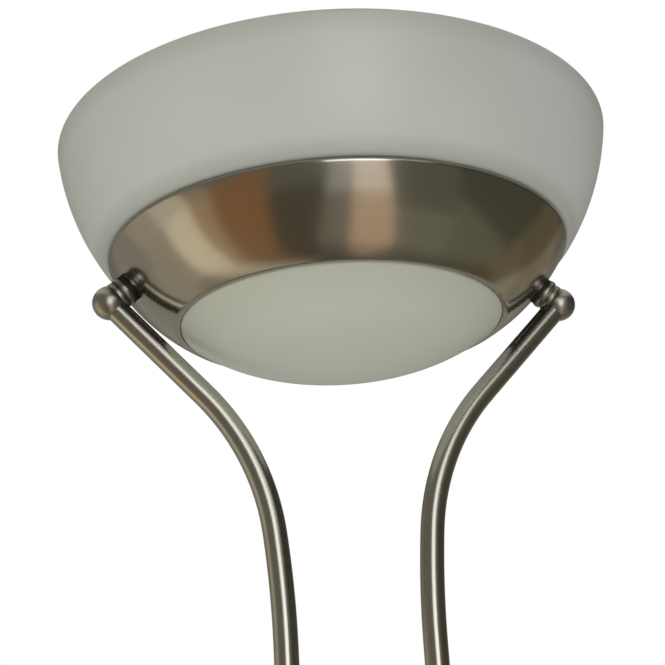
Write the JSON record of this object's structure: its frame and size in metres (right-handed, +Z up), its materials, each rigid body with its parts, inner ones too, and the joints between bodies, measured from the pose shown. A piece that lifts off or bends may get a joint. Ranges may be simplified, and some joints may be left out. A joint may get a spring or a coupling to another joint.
{
  "type": "torchiere floor lamp",
  "caption": "Floor lamp with a shallow opal glass uplight bowl over a spun metal pan with a domed reading lens, held by two bent tubes on a weighted round base.",
  "frame": {"origin": "centre of the underside of the base, on the floor", "axes": "+Z up along the lamp's axis; the two tubes stand at +X and -X; the knobs face -Y"},
  "size_m": [0.39, 0.39, 1.8],
  "materials": {
    "opal_glass": "satin-etched opal, white to pale grey, smooth",
    "satin_nickel": "brushed satin nickel, brushing round the spun parts and along the tubes",
    "frosted_glass": "frosted inside, satin outside",
    "silicone": "matt",
    "spring_steel": "plain",
    "white_enamel": "white stoved enamel",
    "zinc_steel": "zinc plated",
    "ceramic": "unglazed steatite",
    "brass": "plain turned",
    "lamp_glass": "clear quartz",
    "black_rubber": "matt",
    "black_plastic": "fine moulded texture",
    "circuit_board": "phenolic board",
    "cast_iron": "rough, black primer",
    "felt": "pressed felt",
    "lead_sheath": "smooth sheath"
  },
  "bodies": {
    "stand": {"arm_balls": "satin_nickel", "arm_collars": "satin_nickel", "arm_locknuts": "zinc_steel", "arm_nipples": "zinc_steel", "base_cover": "satin_nickel", "base_nuts": "zinc_steel", "base_pad": "felt", "base_studs": "zinc_steel", "base_washers": "zinc_steel", "base_weight": "cast_iron", "bracket_rivets": "zinc_steel", "control_back": "black_plastic", "control_board": "circuit_board", "control_front": "black_plastic", "control_screws": "zinc_steel", "cord_grommet": "black_rubber", "dimmer_module": "black_plastic", "dimmer_nut": "zinc_steel", "halogen_caps": "ceramic", "halogen_tube": "lamp_glass", "head_pan": "satin_nickel", "inner_saddles": "zinc_steel", "left_arm": "satin_nickel", "left_lower_pole": "satin_nickel", "left_middle_pole": "satin_nickel", "lens_clips": "spring_steel", "lens_gasket": "silicone", "lower_couplers": "satin_nickel", "pan_washers": "black_rubber", "pole_sockets": "satin_nickel", "reading_bracket": "zinc_steel", "reading_lamp": "lamp_glass", "reading_lead": "lead_sheath", "reading_lens": "frosted_glass", "reading_socket": "ceramic", "reflector_tray": "white_enamel", "right_arm": "satin_nickel", "right_lower_pole": "satin_nickel", "right_middle_pole": "satin_nickel", "socket_screws": "zinc_steel", "supply_lead": "lead_sheath", "switch_module": "black_plastic", "switch_nut": "zinc_steel", "terminal_block": "ceramic", "tray_nuts": "zinc_steel", "tray_screws": "zinc_steel", "uplight_bracket": "zinc_steel", "uplight_contacts": "brass", "uplight_lead": "lead_sheath", "uplight_sockets": "ceramic", "uplight_wires": "lead_sheath", "upper_couplers": "satin_nickel", "wire_bushes": "silicone", "wire_guard": "zinc_steel"},
    "bowl": {"glass_bowl": "opal_glass"},
    "dimmer": {"dimmer_shaft": "brass", "dimmer_knob": "satin_nickel"},
    "reading_switch": {"switch_shaft": "brass", "switch_knob": "satin_nickel"}
  },
  "joints": [
    {"name": "bowl_lift", "type": "slide", "parent": "stand", "child": "bowl", "axis": [0, 0, 1], "range_m": [0, 0.15]},
    {"name": "dimmer_turn", "type": "hinge", "parent": "stand", "child": "dimmer", "pos_m": [-0.02, -0.02, 1.095], "axis": [0, 1, 0], "range_deg": [0, 270]},
    {"name": "reading_switch_turn", "type": "hinge", "parent": "stand", "child": "reading_switch", "pos_m": [0.02, -0.02, 1.095], "axis": [0, 1, 0], "range_deg": [0, 90]}
  ]
}
